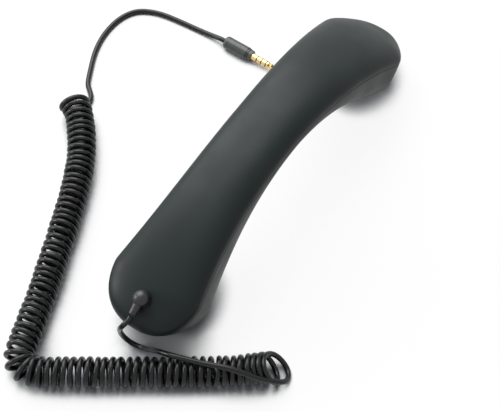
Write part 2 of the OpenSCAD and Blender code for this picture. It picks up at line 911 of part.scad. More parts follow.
// The tip has a waist behind its pointed head
module jack_tip() {
    waist_r = jack_r - 0.55;
    neck = (tip_high - tip_low) * 0.45;
    head = (tip_high - tip_low) * 0.62;
    color(gold)
        on_plug()
            rotate_extrude()
                polygon([
                    [0, tip_low], [jack_r, tip_low], [jack_r, tip_low + neck * 0.4],
                    [waist_r, tip_low + neck], [jack_r, tip_low + head],
                    [jack_r * 0.35, tip_high], [0, tip_high]
                ]);
}
module jack_insulators() {
    color(rubber_black)
        on_plug()
            for (low = [ring_2_low, ring_1_low, tip_low])
                drum(jack_r - 0.02, low - insulator_l, low);
}

back_shell();
front_shell();
ear_grille();
ear_cloth();
ear_gasket();
receiver_frame();
receiver_diaphragm();
receiver_coil();
receiver_magnet();
receiver_yoke();
receiver_clamp();
clamp_screws();
mic_grille();
mic_cloth();
mic_boot();
mic_capsule();
call_button();
switch_plunger();
switch_body();
circuit_board();
board_screws();
counterweight();
weight_screws();
shell_screws();
screw_plugs();
cord_boot();
cord_lead_in();
curly_cord();
cord_lead_out();
plug_body();
plug_band();
plug_collar();
jack_sleeve();
jack_ring_2();
jack_ring_1();
jack_tip();
jack_insulators();
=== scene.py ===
from math import acos, atan2, cos, pi, radians, sin

import bmesh
import bpy
from mathutils import Matrix, Vector


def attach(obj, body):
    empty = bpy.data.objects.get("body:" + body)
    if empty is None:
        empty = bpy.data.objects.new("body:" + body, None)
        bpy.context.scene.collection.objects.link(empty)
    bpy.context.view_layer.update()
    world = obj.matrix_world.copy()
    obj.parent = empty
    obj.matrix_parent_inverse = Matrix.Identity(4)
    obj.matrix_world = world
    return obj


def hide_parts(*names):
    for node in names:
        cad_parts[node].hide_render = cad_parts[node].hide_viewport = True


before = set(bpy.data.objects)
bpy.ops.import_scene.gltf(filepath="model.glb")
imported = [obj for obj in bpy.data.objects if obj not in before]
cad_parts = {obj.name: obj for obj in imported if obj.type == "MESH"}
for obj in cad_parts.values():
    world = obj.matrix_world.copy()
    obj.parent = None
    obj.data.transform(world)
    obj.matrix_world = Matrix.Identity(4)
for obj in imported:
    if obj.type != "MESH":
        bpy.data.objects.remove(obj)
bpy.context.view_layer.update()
print("frame: %d nodes loaded" % len(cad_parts))

mm = 0.001
root = "root"
bootAt = -100.8  # where the cord boot sits along the arch, from the grip's middle

cameraSettings = {
    "place": (-0.387918, -0.253543, 0.711035),
    "right": (0.567367, -0.823442, 0.006265),
    "up": (0.692927, 0.481523, 0.536645),
    "lens": 123.09,
    "sensor": 36.0,
}

def addCamera(settings):
    data = bpy.data.cameras.new("photoCamera")
    data.sensor_fit = "HORIZONTAL"
    data.sensor_width = settings["sensor"]
    data.lens = settings["lens"]
    data.clip_start = 0.05
    data.clip_end = 20
    camera = bpy.data.objects.new("photoCamera", data)
    bpy.context.scene.collection.objects.link(camera)
    right = Vector(settings["right"]).normalized()
    up = Vector(settings["up"]).normalized()
    back = right.cross(up).normalized()
    up = back.cross(right)
    turn = Matrix((right, up, back)).transposed().to_4x4()
    camera.matrix_world = Matrix.Translation(settings["place"]) @ turn
    bpy.context.scene.camera = camera

addCamera(cameraSettings)
print("camera: placed")

# Noise scales are per metre, because the patterns read object coordinates
finishes = {
    "softShell": {
        "tones": ((0.008, 0.013, 0.0125), (0.012, 0.018, 0.0175)), "grain": 35, "detail": 3,
        "roughness": (0.40, 0.50), "bump": (2600, 0.12, 0.00006), "gloss": 0.2,
    },
    "trimPlastic": {
        "tones": ((0.014, 0.016, 0.016), (0.022, 0.024, 0.024)), "grain": 160, "detail": 4,
        "roughness": (0.38, 0.5), "bump": (3200, 0.15, 0.00005),
    },
    "cordRubber": {
        "tones": ((0.003, 0.0035, 0.004), (0.006, 0.0065, 0.007)), "grain": 90, "detail": 3,
        "roughness": (0.22, 0.34), "bump": (1400, 0.06, 0.00005), "gloss": 0.3,
    },
    "bootRubber": {
        "tones": ((0.010, 0.010, 0.011), (0.018, 0.018, 0.019)), "grain": 240, "detail": 4,
        "roughness": (0.34, 0.46), "bump": (3000, 0.12, 0.00005),
    },
    "plugPlastic": {
        "tones": ((0.030, 0.036, 0.034), (0.044, 0.050, 0.048)), "grain": 300, "detail": 3,
        "roughness": (0.28, 0.38), "bump": (4200, 0.08, 0.00004),
    },
    "goldPlate": {
        "tones": ((0.78, 0.54, 0.22), (0.88, 0.64, 0.29)), "grain": 500, "detail": 3,
        "roughness": (0.16, 0.3), "bump": (5200, 0.05, 0.00003), "metallic": 1.0,
        "stretch": (1, 0.05, 1),
    },
    "zincSteel": {
        "tones": ((0.50, 0.50, 0.49), (0.64, 0.64, 0.62)), "grain": 420, "detail": 5,
        "roughness": (0.3, 0.48), "bump": (2400, 0.1, 0.00004), "metallic": 1.0,
    },
    "castWeight": {
        "tones": ((0.15, 0.15, 0.155), (0.25, 0.25, 0.25)), "grain": 260, "detail": 6,
        "roughness": (0.5, 0.7), "bump": (900, 0.4, 0.0002), "metallic": 0.85,
    },
    "sinteredMagnet": {
        "tones": ((0.10, 0.10, 0.11), (0.17, 0.17, 0.175)), "grain": 900, "detail": 6,
        "roughness": (0.42, 0.6), "bump": (2400, 0.3, 0.0001), "metallic": 0.6,
    },
    "copperWire": {
        "tones": ((0.52, 0.21, 0.09), (0.72, 0.32, 0.14)), "grain": 300, "detail": 2,
        "roughness": (0.25, 0.4), "bump": (5200, 0.5, 0.0001), "metallic": 0.9,
        "stretch": (1, 1, 8),
    },
    "boardGreen": {
        "tones": ((0.008, 0.075, 0.03), (0.014, 0.11, 0.05)), "grain": 420, "detail": 2,
        "roughness": (0.3, 0.42), "bump": (1700, 0.2, 0.00006),
    },
    "frameResin": {
        "tones": ((0.56, 0.53, 0.45), (0.68, 0.65, 0.57)), "grain": 200, "detail": 4,
        "roughness": (0.45, 0.6), "bump": (2200, 0.15, 0.00006),
    },
    "diaphragmFilm": {
        "tones": ((0.42, 0.43, 0.38), (0.55, 0.55, 0.50)), "grain": 380, "detail": 2,
        "roughness": (0.2, 0.34), "bump": (900, 0.2, 0.0001),
    },
    "capsuleCan": {
        "tones": ((0.55, 0.56, 0.57), (0.66, 0.67, 0.68)), "grain": 600, "detail": 3,
        "roughness": (0.28, 0.42), "bump": (3000, 0.1, 0.00004), "metallic": 1.0,
    },
    "foamFelt": {
        "tones": ((0.012, 0.012, 0.013), (0.040, 0.040, 0.042)), "grain": 2600, "detail": 5,
        "roughness": (0.85, 0.97), "bump": (3800, 0.7, 0.0002), "sheen": 0.3,
    },
}

def linkNoise(tree, coordinates, scale, detail):
    noise = tree.nodes.new("ShaderNodeTexNoise")
    noise.inputs["Scale"].default_value = scale
    noise.inputs["Detail"].default_value = detail
    tree.links.new(coordinates, noise.inputs["Vector"])
    return noise.outputs["Fac"]

def makeFinish(name, settings):
    material = bpy.data.materials.new(name)
    material.use_nodes = True
    tree = material.node_tree
    shader = tree.nodes["Principled BSDF"]
    shader.inputs["Metallic"].default_value = settings.get("metallic", 0.0)
    shader.inputs["Specular IOR Level"].default_value = settings.get("gloss", 0.5)
    if "sheen" in settings:
        shader.inputs["Sheen Weight"].default_value = settings["sheen"]
        shader.inputs["Sheen Roughness"].default_value = 0.45
    place = tree.nodes.new("ShaderNodeTexCoord")
    mapping = tree.nodes.new("ShaderNodeMapping")
    mapping.inputs["Scale"].default_value = settings.get("stretch", (1, 1, 1))
    tree.links.new(place.outputs["Object"], mapping.inputs["Vector"])
    cloud = linkNoise(tree, mapping.outputs["Vector"], settings["grain"], settings["detail"])
    tones = tree.nodes.new("ShaderNodeValToRGB")
    tones.color_ramp.elements[0].position = 0.32
    tones.color_ramp.elements[1].position = 0.68
    tones.color_ramp.elements[0].color = (*settings["tones"][0], 1)
    tones.color_ramp.elements[1].color = (*settings["tones"][1], 1)
    tree.links.new(cloud, tones.inputs["Fac"])
    tree.links.new(tones.outputs["Color"], shader.inputs["Base Color"])
    wear = linkNoise(tree, mapping.outputs["Vector"], settings["grain"] * 2.3, 5)
    rough = tree.nodes.new("ShaderNodeMapRange")
    rough.inputs["From Min"].default_value = 0.3
    rough.inputs["From Max"].default_value = 0.7
    rough.inputs["To Min"].default_value = settings["roughness"][0]
    rough.inputs["To Max"].default_value = settings["roughness"][1]
    tree.links.new(wear, rough.inputs["Value"])
    tree.links.new(rough.outputs["Result"], shader.inputs["Roughness"])
    scale, strength, distance = settings["bump"]
    texture = linkNoise(tree, mapping.outputs["Vector"], scale, 3)
    bump = tree.nodes.new("ShaderNodeBump")
    bump.inputs["Strength"].default_value = strength
    bump.inputs["Distance"].default_value = distance
    tree.links.new(texture, bump.inputs["Height"])
    tree.links.new(bump.outputs["Normal"], shader.inputs["Normal"])
    return material

materials = {name: makeFinish(name, settings) for name, settings in finishes.items()}
print("materials: %d made" % len(materials))

def dress(nodeNames, finish):
    for nodeName in nodeNames:
        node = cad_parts[nodeName]
        if not node.material_slots:
            node.data.materials.append(None)
        for slot in node.material_slots:
            slot.link = "OBJECT"
            slot.material = materials[finish]

def addPiece(name, mesh, finish, body):
    piece = bpy.data.objects.new(name, mesh)
    bpy.context.scene.collection.objects.link(piece)
    piece.data.materials.append(materials[finish])
    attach(piece, body)
    return piece

def shadeByAngle(mesh, sharpAngle=35):
    mesh.shade_smooth()
    mesh.set_sharp_from_angle(angle=radians(sharpAngle))

def meshFrom(name, bm):
    mesh = bpy.data.meshes.new(name)
    bm.to_mesh(mesh)
    bm.free()
    shadeByAngle(mesh)
    return mesh

def applyModifiers(piece):
    graph = bpy.context.evaluated_depsgraph_get()
    graph.update()
    finished = bpy.data.meshes.new_from_object(piece.evaluated_get(graph))
    piece.modifiers.clear()
    piece.data = finished

cordSettings = {
    "diameter": 2.6,
    "length": 3.1,
    "exit": (-107.94, 0, 28.39),
    "straight": 1.6,
    "leadIn": (
        (-111.4, 0.9, 25.9), (-112.4, 2.4, 22.6), (-111.9, 3.9, 18.4), (-110.9, 4.8, 13.6),
        (-109.9, 4.7, 8.8), (-109.0, 3.1, 4.8), (-108.2, -0.1, 2.4), (-107.6, -4.2, 2.6),
        (-107.8, -9.2, 6.2), (-108.4, -15, 11.6), (-108.6, -21.2, 15.4), (-107.2, -27, 16.4),
        (-104, -36.2, 16.4), (-99.4, -47.2, 16.2), (-96, -56, 14.4), (-93.6, -61, 11.6),
    ),
    "coil": (
        (-81.6, -64.2), (-93.2, -50.4), (-104.4, -35.6), (-115, -20.6), (-125.4, -5.6),
        (-135.8, 9.4), (-143.6, 20.8), (-147, 26), (-148.7, 30.2), (-148.2, 34.6),
        (-145.2, 37.8), (-141, 39.7), (-136.6, 41.3), (-126.4, 44.8), (-112, 50),
        (-89.8, 59), (-66.8, 68.6), (-44.6, 79.6), (-28.8, 91.2), (-15.2, 104.6),
    ),
    "coilHeight": 7.3,
    "coilRadius": 6.0,
    "coilLift": 0.06,
    "pitchWobble": ((0.035, 0.21, 0.7), (0.03, 0.097, 2.1)),  # share, per mm, start
    "radiusWobble": ((0.012, 1.9, 0.4), (0.01, 0.83, 0.0)),  # share, per turn, start
    "swayWobble": ((0.35, 1.31, 0.0), (0.25, 2.9, 1.1)),  # mm, per turn, start
    "frontPitch": 3.75,
    "farPitch": 3.62,
    "cornerPitch": 3.6,
    "cornerAt": 119.0,
    "cornerWidth": 10.0,
    "firstTurn": -180.0,
    "lastTurn": 285.0,
    "openTurns": 6.0,
    "openFade": 1.6,
    "openTilt": 46.0,
    "openSwell": 0.20,
    "farTurns": 2.5,
    "farFade": 1.5,
    "farYaw": 2.0,
    "farShift": 1.8,
    "farSwell": 0.14,
    "pointsPerTurn": 24,
    "leadOut": (
        (-11.6, 102.8, 1.5), (-8.0, 102.3, 1.5), (-4.8, 104.0, 1.5), (-2.4, 107.0, 1.4),
        (0.6, 110.2, 1.4), (8, 114.2, 1.4),
        (18.4, 119.2, 1.4), (29.6, 122.2, 1.4), (41, 122.4, 1.4), (49.8, 119.6, 1.4),
        (55, 114.6, 1.4), (58.6, 106, 1.4), (60.2, 95, 1.4), (61.2, 84, 1.4),
        (61.8, 75, 2.2), (61.8, 69.6, 3.4), (61.8, 66.6, 3.4),
    ),
}

def smoothLine(points, steps):
    line = []
    count = len(points)
    for i in range(count - 1):
        a = points[max(0, i - 1)]
        b = points[i]
        c = points[i + 1]
        d = points[min(count - 1, i + 2)]
        for k in range(steps):
            u = k / steps
            line.append(0.5 * (
                2 * b + (c - a) * u + (2 * a - 5 * b + 4 * c - d) * u * u
                + (3 * b - a - 3 * c + d) * u * u * u
            ))
    line.append(points[-1].copy())
    return line

def relaxLine(line, rounds):
    for _ in range(rounds):
        line = [line[0], line[1]] + [
            line[i] * 0.5 + (line[i - 1] + line[i + 1]) * 0.25 for i in range(2, len(line) - 2)
        ] + [line[-2], line[-1]]
    return line

def walkLine(line, step):
    places = [line[0].copy()]
    carried = 0.0
    for a, b in zip(line, line[1:]):
        length = (b - a).length
        while length and carried + step <= length + 1e-9:
            carried += step
            places.append(a.lerp(b, carried / length))
        carried -= length
    return places

def wobble(waves, at):
    return sum(size * sin(at * rate + start) for size, rate, start in waves)

def coilLine(settings):
    flat = [Vector((x, y, settings["coilHeight"])) for x, y in settings["coil"]]
    step = 0.05
    middle = walkLine(relaxLine(smoothLine(flat, 12), 12), step)
    count = len(middle)
    reach = 12
    total = 0.0
    turnsAt = []
    for i in range(count):
        s = i * step
        near = (s - settings["cornerAt"]) / settings["cornerWidth"]
        late = 0.5 + 0.5 * max(-1.0, min(1.0, near))
        pitch = settings["frontPitch"] + (settings["farPitch"] - settings["frontPitch"]) * late
        pitch += (settings["cornerPitch"] - pitch) * max(0.0, 1 - near * near)
        pitch *= 1 + wobble(settings["pitchWobble"], s)
        turnsAt.append(total)
        total += step / pitch
    wanted = round(total) + (settings["lastTurn"] - settings["firstTurn"]) / 360
    stretch = wanted / total
    points = []
    perTurn = settings["pointsPerTurn"]
    wantedPoints = int(wanted * perTurn)
    i = 0
    for k in range(wantedPoints + 1):
        turn = k / perTurn
        while i < count - 1 and turnsAt[i + 1] * stretch < turn:
            i += 1
        s = i * step
        heading = (middle[min(count - 1, i + reach)] - middle[max(0, i - reach)]).normalized()
        side = Vector((heading.y, -heading.x, 0))
        phi = radians(settings["firstTurn"]) + 2 * pi * turn
        opening = max(0.0, 1 - turn / settings["openTurns"]) ** settings["openFade"]
        closing = max(0.0, 1 - (wanted - turn) / settings["farTurns"]) ** settings["farFade"]
        tilt = radians(settings["openTilt"]) * opening
        r = settings["coilRadius"] * (1 + wobble(settings["radiusWobble"], turn))
        r *= 1 + settings["openSwell"] * opening + settings["farSwell"] * closing
        sway = wobble(settings["swayWobble"], turn)
        upward = Vector((0, 0, cos(tilt))) + heading * sin(tilt)
        place = middle[i] + r * (cos(phi) * side + sin(phi) * upward)
        place += heading * (sway * sin(phi) + settings["farYaw"] * closing * cos(phi))
        place -= side * (settings["farShift"] * closing)
        place.z += r * cos(tilt) + settings["diameter"] / 2 + settings["coilLift"]
        place.z -= settings["coilHeight"]
        points.append(place)
    print("cord: %.1f turns over %.0f mm" % (wanted, count * step))
    return points

def cordLine(settings):
    exitPoint = Vector(settings["exit"])
    leanBack = cordExitDirection()
    leadIn = [exitPoint, exitPoint + leanBack * settings["straight"]]
    leadIn += [Vector(point) for point in settings["leadIn"]]
    coil = coilLine(settings)
    steps = 8
    joined = smoothLine(leadIn + [coil[0], coil[3], coil[6]], steps)[:-2 * steps]
    leadOut = [coil[-7], coil[-4], coil[-1]] + [Vector(point) for point in settings["leadOut"]]
    leadOut = smoothLine(leadOut, steps)[2 * steps:]
    line = relaxLine(joined, 6)[:-1] + coil + relaxLine(leadOut, 6)[1:]
    start = len(joined) - 1
    end = start + len(coil) - 1
    line = relaxSpan(line, start - 6, start + 6, 5)
    return relaxSpan(line, end - 6, end + 6, 4)

# Smooths a joint most in its middle, so that no kink is left at the ends of the stretch
def relaxSpan(line, start, end, rounds):
    for _ in range(rounds):
        moved = list(line)
        for i in range(start, end + 1):
            share = 0.5 * sin(pi * (i - start) / (end - start))
            moved[i] = line[i] * (1 - share) + (line[i - 1] + line[i + 1]) * (share / 2)
        line = moved
    return line

def lineLength(line):
    return sum((b - a).length for a, b in zip(line, line[1:]))

def tightestBend(line, reach=2.0):
    places = walkLine(line, reach)
    best = (1e9, None)
    for a, b, c in zip(places, places[1:], places[2:]):
        turn = (b - a).angle(c - b)
        if turn > 1e-4:
            best = min(best, (reach / turn, tuple(round(value, 1) for value in b)))
    return best

shellSettings = {
    "reach": 116.0,
    "micBend": 185.0,
    "earBend": 145.0,
    "gripHigh": 50.6,
    "gripX": 1.9,
    "backHigh": 8.5,
    "gripDepth": 9.0,
    "micDepth": 32.0,
    "earDepth": 21.5,
    "gripWide": 34.0,
    "micWide": 47.6,
    "earWide": 46.0,
    "micSwell": 2.78,
    "earSwell": 1.4,
    "micNose": 27.6,
    "earNose": 27.0,
    "micNosePower": 2.3,
    "earNosePower": 1.5,
    "backPower": 2.5,
    "gripPower": 2.8,
    "micCup": 3.0,
    "earCup": 3.6,
    "wall": 2.0,
    "faceWall": 4.8,
    "fullAt": 0.8,
    "crowd": 1.7,
    "rings": 112,
    "around": 144,
    "rimRound": 0.35,
    "backNose": 1.6,
    "depthPower": 2.2,
    "faceFrom": 0.7,
    "cupFrom": 0.75,
    "flatShare": 0.6,
}

def bendRadius(s):
    return shellSettings["micBend"] if s < 0 else shellSettings["earBend"]

def archPoint(s, across, height):
    radius = bendRadius(s)
    lean = s / radius
    x = shellSettings["gripX"] + radius * sin(lean) + height * sin(lean)
    z = shellSettings["gripHigh"] - radius * (1 - cos(lean)) + height * cos(lean)
    return Vector((x, across, z))

def archFrame(s):
    place = archPoint(s, 0, 0) * mm
    return Matrix.Translation(place) @ Matrix.Rotation(s / bendRadius(s), 4, "Y")

def cordExitDirection():
    lean = bootAt / bendRadius(bootAt)
    return Vector((-cos(lean), 0, sin(lean)))

def ease(share):
    return (1 - cos(pi * min(1, share))) / 2

def noseShare(s, reach, cap, power):
    share = min(1, max(0, (abs(s) - (reach - cap)) / cap))
    return max(0, 1 - share ** power) ** (1 / power)

def along(s):
    return abs(s) / shellSettings["reach"] / shellSettings["fullAt"]

def sideWall(s):
    wall = shellSettings["wall"]
    return wall + (shellSettings["faceWall"] - wall) * ease(along(s) / shellSettings["faceFrom"])

def halfWidth(s, inset):
    end = "mic" if s < 0 else "ear"
    grip = shellSettings["gripWide"]
    wide = grip / 2 + (shellSettings[end + "Wide"] - grip) / 2 \
        * min(1, along(s)) ** shellSettings[end + "Swell"]
    reach = shellSettings["reach"] - inset
    nose = noseShare(s, reach, shellSettings[end + "Nose"], shellSettings[end + "NosePower"])
    return (wide - inset) * nose

def backHeight(s, inset):
    high = shellSettings["backHigh"]
    cap = high * shellSettings["backNose"]
    return (high - inset) * noseShare(s, shellSettings["reach"] - inset, cap, shellSettings["depthPower"])

def fullDepth(s):
    deep = shellSettings["micDepth"] if s < 0 else shellSettings["earDepth"]
    return shellSettings["gripDepth"] + (deep - shellSettings["gripDepth"]) * ease(along(s))

def frontDepth(s, inset):
    deep = shellSettings["micDepth"] if s < 0 else shellSettings["earDepth"]
    wall = sideWall(s) if inset else 0
    reach = shellSettings["reach"] - inset
    return (fullDepth(s) - wall) * noseShare(s, reach, deep, shellSettings["depthPower"])

def skinPoint(spot, side, inset):
    share = 1 - 2 * acos(max(-1, min(1, spot.x))) / pi
    size = (1 - (1 - abs(share)) ** shellSettings["crowd"]) * (shellSettings["reach"] - inset)
    s = size if share >= 0 else -size
    turn = atan2(abs(spot.z), spot.y)
    if side > 0:
        power = shellSettings["backPower"]
        height = backHeight(s, inset)
    else:
        cup = shellSettings["micCup" if s < 0 else "earCup"]
        grip = shellSettings["gripPower"]
        power = grip + (cup - grip) * ease(along(s) / shellSettings["cupFrom"])
        height = -frontDepth(s, inset)
    across = abs(cos(turn))
    upward = abs(sin(turn))
    spread = (across ** power + upward ** power) ** (-1 / power)
    y = halfWidth(s, inset) * spread * cos(turn)
    point = archPoint(s, y, height * spread * upward)
    point.z = max(point.z, sideWall(s) * shellSettings["flatShare"] if inset else 0)
    return point * mm

def halfSkin(side, inset):
    bm = bmesh.new()
    bmesh.ops.create_uvsphere(
        bm, u_segments=shellSettings["around"], v_segments=shellSettings["rings"], radius=1
    )
    bmesh.ops.rotate(bm, verts=bm.verts, cent=(0, 0, 0), matrix=Matrix.Rotation(pi / 2, 3, "Y"))
    bmesh.ops.bisect_plane(
        bm, geom=bm.verts[:] + bm.edges[:] + bm.faces[:], dist=1e-6,
        plane_co=(0, 0, 0), plane_no=(0, 0, side), clear_inner=True
    )
    for vert in bm.verts:
        vert.co = skinPoint(vert.co, side, inset)
    return bm

def shellMesh(name, side):
    outer = halfSkin(side, 0)
    inner = halfSkin(side, shellSettings["wall"])
    bmesh.ops.reverse_faces(inner, faces=inner.faces)
    carrier = bpy.data.meshes.new(name + "Inner")
    inner.to_mesh(carrier)
    inner.free()
    rimEdges = [edge for edge in outer.edges if edge.is_boundary]
    outer.from_mesh(carrier)
    bpy.data.meshes.remove(carrier)
    edges = [edge for edge in outer.edges if edge.is_boundary]
    bmesh.ops.bridge_loops(outer, edges=edges)
    rim = [edge for edge in rimEdges if edge.is_valid]
    bmesh.ops.bevel(
        outer, geom=rim, offset=shellSettings["rimRound"] * mm, offset_type="OFFSET",
        affect="EDGES", segments=2, profile=0.5, material=-1
    )
    bmesh.ops.recalc_face_normals(outer, faces=outer.faces)
    return outer

def addDrum(bm, place, radius, low, high, segments=64, topRadius=None):
    depth = (high - low) * mm
    middle = place @ Matrix.Translation((0, 0, (low + high) / 2 * mm))
    bmesh.ops.create_cone(
        bm, cap_ends=True, segments=segments, radius1=radius * mm,
        radius2=(radius if topRadius is None else topRadius) * mm, depth=depth, matrix=middle
    )

def combine(piece, bm, operation):
    tool = bpy.data.objects.new(piece.name + "Tool", meshFrom(piece.name + "Tool", bm))
    bpy.context.scene.collection.objects.link(tool)
    modifier = piece.modifiers.new(operation, "BOOLEAN")
    modifier.operation = operation
    modifier.solver = "MANIFOLD"
    modifier.object = tool
    applyModifiers(piece)
    toolMesh = tool.data
    bpy.data.objects.remove(tool)
    bpy.data.meshes.remove(toolMesh)

frontSettings = {
    "earAt": 84.0, "micAt": -86.0, "sink": 3.3, "fit": 0.2,
    "earGrille": 15.3, "earOpen": 13.0, "micGrille": 9.0, "micOpen": 7.0,
    "screwAt": 32.016, "screwHead": 2.9, "headSeat": -6.5, "screwHole": 1.45, "split": -2.0,
    "postRadius": 4.2, "button": 6.3, "seatRing": 9.5, "seatHigh": 2.5,
    "boardPostX": 13.0, "boardPost": 2.5, "boardHole": 1.03,
    "clampY": 16.6, "clampPost": 2.6, "clampSink": 5.6,
    "bootRadius": 7.7, "socket": 1.6, "socketHigh": 5.0,
    "boardLift": 8.0, "boardDeep": 5.9, "clampLift": 9.2, "bootLift": 0.3, "root": 0.9, "over": 1.0,
}

def addFrontShell(settings):
    piece = addPiece("frontShell", meshFrom("frontShell", shellMesh("frontShell", -1)),
                     "softShell", root)
    gripLow = shellSettings["gripHigh"] - shellSettings["gripDepth"]
    seatHigh = gripLow + settings["seatHigh"]
    earFace = frontDepth(settings["earAt"], 0)
    micFace = frontDepth(settings["micAt"], 0)
    earInner = -(earFace - shellSettings["faceWall"])
    micInner = -(micFace - shellSettings["faceWall"])
    boardLow = seatHigh + settings["boardLift"]
    clampLow = earInner + settings["clampLift"]
    bootLow = micInner + settings["bootLift"]
    over = settings["over"]
    ear = archFrame(settings["earAt"])
    mic = archFrame(settings["micAt"])
    grip = Matrix.Translation((shellSettings["gripX"] * mm, 0, 0))
    posts = bmesh.new()
    for s in (-settings["screwAt"], settings["screwAt"]):
        addDrum(posts, archFrame(s), settings["postRadius"], over - fullDepth(s), settings["split"])
    for y in (-settings["clampY"], settings["clampY"]):
        post = ear @ Matrix.Translation((0, y * mm, 0))
        addDrum(posts, post, settings["clampPost"], -(earFace - settings["clampSink"]), clampLow)
    addDrum(posts, mic, settings["bootRadius"] + settings["socket"], micInner - settings["root"],
            bootLow + settings["socketHigh"])
    addDrum(posts, grip, settings["seatRing"], gripLow + over, seatHigh)
    for x in (-settings["boardPostX"], settings["boardPostX"]):
        post = grip @ Matrix.Translation((x * mm, 0, 0))
        addDrum(posts, post, settings["boardPost"], gripLow + settings["root"], boardLow)
    combine(piece, posts, "UNION")
    cuts = bmesh.new()
    addDrum(cuts, ear, settings["earGrille"] + settings["fit"], -earFace - 6,
            -(earFace - settings["sink"]), 96)
    addDrum(cuts, mic, settings["micGrille"] + settings["fit"], -micFace - 6,
            -(micFace - settings["sink"]), 96)
    for s in (-settings["screwAt"], settings["screwAt"]):
        addDrum(cuts, archFrame(s), settings["screwHead"], -fullDepth(s) - 4, settings["headSeat"])
    combine(piece, cuts, "DIFFERENCE")
    bores = bmesh.new()
    addDrum(bores, ear, settings["earOpen"], -(earFace - settings["sink"]) - over, earInner + 4, 96)
    addDrum(bores, mic, settings["micOpen"], -(micFace - settings["sink"]) - over, micInner + over, 96)
    addDrum(bores, grip, settings["button"], gripLow - 2, seatHigh + over, 96)
    for s in (-settings["screwAt"], settings["screwAt"]):
        addDrum(bores, archFrame(s), settings["screwHole"], settings["headSeat"] - over,
                settings["split"] + over)
    for x in (-settings["boardPostX"], settings["boardPostX"]):
        post = grip @ Matrix.Translation((x * mm, 0, 0))
        addDrum(bores, post, settings["boardHole"], boardLow - settings["boardDeep"], boardLow + over)
    combine(piece, bores, "DIFFERENCE")
    sockets = bmesh.new()
    addDrum(sockets, mic, settings["bootRadius"], bootLow - 0.2,
            bootLow + settings["socketHigh"] + over, 96)
    combine(piece, sockets, "DIFFERENCE")
    shadeByAngle(piece.data)
    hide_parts("front_shell")
    return piece

backSettings = {"bore": 3.1, "boreLow": 4.5, "boreHigh": 9.5}

def addBackShell(settings):
    piece = addPiece("backShell", meshFrom("backShell", shellMesh("backShell", 1)),
                     "softShell", root)
    bore = bmesh.new()
    addDrum(bore, archFrame(bootAt), settings["bore"], settings["boreLow"], settings["boreHigh"])
    combine(piece, bore, "DIFFERENCE")
    shadeByAngle(piece.data)
    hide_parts("back_shell")
    return piece

frontShell = addFrontShell(frontSettings)
backShell = addBackShell(backSettings)
shellFaces = (len(frontShell.data.polygons), len(backShell.data.polygons))
print("shells: front %d faces, back %d" % shellFaces)

bootSettings = {
    "seat": 8.55, "dome": 4.0, "shoulder": 2.2, "armHigh": 11.1,
    "arm": 2.4, "armTip": 1.8, "armLong": 8.4, "neck": 3.0, "flange": 4.4,
    "neckLow": 5.4, "flangeLow": 4.8, "flangeHigh": 6.0, "voxel": 0.22, "smooth": 6,
}

def addCordBoot(settings):
    place = archFrame(bootAt)
    bm = bmesh.new()
    middle = place @ Matrix.Translation((0, 0, (settings["seat"] + settings["shoulder"]) * mm))
    bmesh.ops.create_uvsphere(
        bm, u_segments=64, v_segments=40, radius=settings["dome"] * mm, matrix=middle
    )
    addDrum(bm, place, settings["dome"], settings["seat"], settings["seat"] + settings["shoulder"])
    addDrum(bm, place, settings["neck"], settings["neckLow"], settings["seat"] + 1)
    addDrum(bm, place, settings["flange"], settings["flangeLow"], settings["flangeHigh"])
    arm = place @ Matrix.Translation((0, 0, settings["armHigh"] * mm)) \
        @ Matrix.Rotation(-pi / 2, 4, "Y")
    addDrum(bm, arm, settings["arm"], 0, settings["armLong"], 48, settings["armTip"])
    piece = addPiece("cordBoot", meshFrom("cordBoot", bm), "bootRubber", root)
    remesh = piece.modifiers.new("joined", "REMESH")
    remesh.mode = "VOXEL"
    remesh.voxel_size = settings["voxel"] * mm
    soften = piece.modifiers.new("softened", "SMOOTH")
    soften.factor = 0.5
    soften.iterations = settings["smooth"]
    applyModifiers(piece)
    piece.data.shade_smooth()
    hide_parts("cord_boot")
    return piece

cordBoot = addCordBoot(bootSettings)
print("cord boot: %d faces" % len(cordBoot.data.polygons))

def addCord(settings):
    line = cordLine(settings)
    print("cord: tightest bend %.2f mm near %s" % tightestBend(line))
    line = [point * mm for point in line]
    data = bpy.data.curves.new("handsetCord", "CURVE")
    data.dimensions = "3D"
    data.bevel_depth = settings["diameter"] / 2 * mm
    data.bevel_resolution = 4
    data.use_fill_caps = True
    spline = data.splines.new("POLY")
    spline.points.add(len(line) - 1)
    for point, place in zip(spline.points, line):
        point.co = (*place, 1)
    spline.use_smooth = True
    data.materials.append(materials["cordRubber"])
    cord = bpy.data.objects.new("handsetCord", data)
    bpy.context.scene.collection.objects.link(cord)
    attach(cord, root)
    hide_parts("cord_lead_in", "curly_cord", "cord_lead_out")
    print("cord: %.3f m long, %d points" % (lineLength(line), len(line)))
    return cord

handsetCord = addCord(cordSettings)

dress(["ear_grille", "mic_grille", "call_button", "screw_plugs"], "trimPlastic")
dress(["plug_body"], "plugPlastic")
dress(["plug_band", "jack_insulators", "mic_boot", "switch_plunger"], "bootRubber")
dress(["plug_collar"], "plugPlastic")
dress(["jack_sleeve", "jack_ring_2", "jack_ring_1", "jack_tip"], "goldPlate")
dress(["ear_cloth", "mic_cloth", "ear_gasket"], "foamFelt")
dress(["receiver_frame", "receiver_clamp"], "frameResin")
dress(["receiver_diaphragm"], "diaphragmFilm")
dress(["receiver_coil"], "copperWire")
dress(["receiver_magnet"], "sinteredMagnet")
dress(["receiver_yoke", "clamp_screws", "board_screws", "weight_screws", "shell_screws",
       "switch_body"], "zincSteel")
dress(["mic_capsule"], "capsuleCan")
dress(["circuit_board"], "boardGreen")
dress(["counterweight"], "castWeight")
print("kept nodes: dressed")

